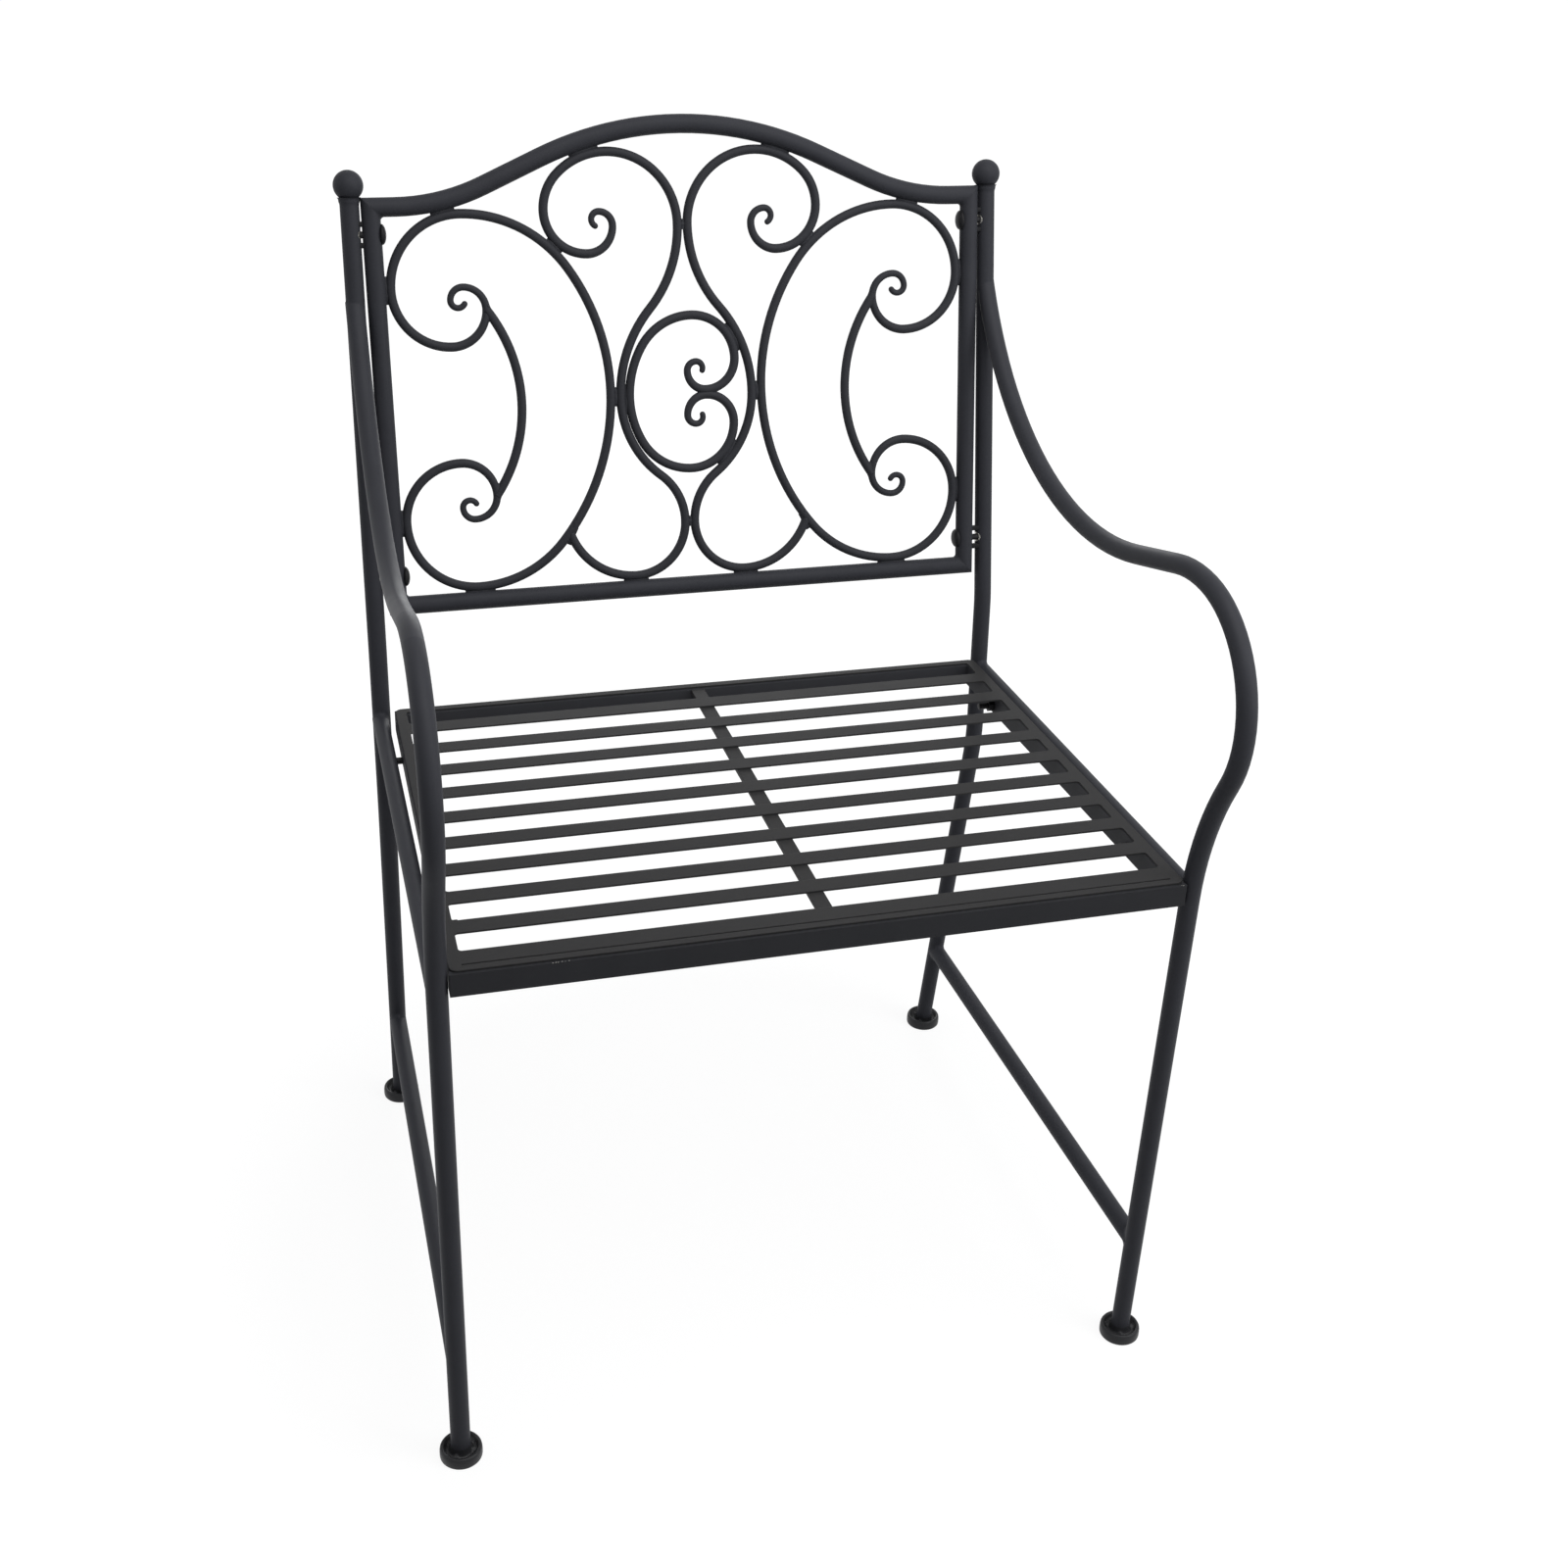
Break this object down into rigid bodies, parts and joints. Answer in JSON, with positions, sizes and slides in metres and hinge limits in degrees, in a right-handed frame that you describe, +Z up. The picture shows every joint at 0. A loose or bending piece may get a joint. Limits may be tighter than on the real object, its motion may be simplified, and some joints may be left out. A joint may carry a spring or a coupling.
{
  "type": "garden armchair",
  "caption": "Garden armchair of bent steel tube with a scrollwork back, slatted metal seat, swept arms, side stretchers and disc feet.",
  "frame": {"origin": "on the floor, under the middle of the chair's overall box", "axes": "+Z up; the sitter faces -Y; +X is on the right of someone who looks at the chair from the front"},
  "size_m": [0.6176, 0.5748, 0.9673],
  "materials": {
    "frame_coating": "satin charcoal-black powder coat on steel tube",
    "arm_coating": "satin charcoal-black powder coat, slightly smoother where hands rest",
    "scroll_coating": "satin charcoal-black powder coat on bent round rod",
    "seat_coating": "satin charcoal-black powder coat on sheet and rectangular tube",
    "foot_coating": "glossier charcoal-black coat on turned steel discs",
    "spacer_coating": "satin charcoal-black powder coat on saddle spacers",
    "bolt_black": "black coated bolt steel, semi-gloss",
    "zinc_insert": "zinc plated"
  },
  "bodies": {
    "root": {"left_rear_post": "frame_coating", "right_rear_post": "frame_coating", "left_arm_and_front_leg": "arm_coating", "right_arm_and_front_leg": "arm_coating", "left_seat_side_rail": "frame_coating", "right_seat_side_rail": "frame_coating", "left_stretcher": "frame_coating", "right_stretcher": "frame_coating", "left_ball_finial": "frame_coating", "right_ball_finial": "frame_coating", "left_rear_foot": "foot_coating", "right_rear_foot": "foot_coating", "left_front_foot": "foot_coating", "right_front_foot": "foot_coating", "left_back_stile": "frame_coating", "right_back_stile": "frame_coating", "left_c_scroll": "scroll_coating", "right_c_scroll": "scroll_coating", "left_s_scroll": "scroll_coating", "right_s_scroll": "scroll_coating", "left_bow_bar": "scroll_coating", "right_bow_bar": "scroll_coating", "left_seat_side_tube": "seat_coating", "right_seat_side_tube": "seat_coating", "back_top_rail": "frame_coating", "back_bottom_rail": "frame_coating", "centre_scroll": "scroll_coating", "scroll_weld_beads": "scroll_coating", "back_bolts": "bolt_black", "back_spacers": "spacer_coating", "back_threaded_inserts": "zinc_insert", "seat_front_tube": "seat_coating", "seat_rear_tube": "seat_coating", "seat_slat_panel": "seat_coating", "seat_centre_bar": "seat_coating", "seat_studs": "bolt_black", "seat_nuts": "bolt_black"}
  },
  "joints": []
}
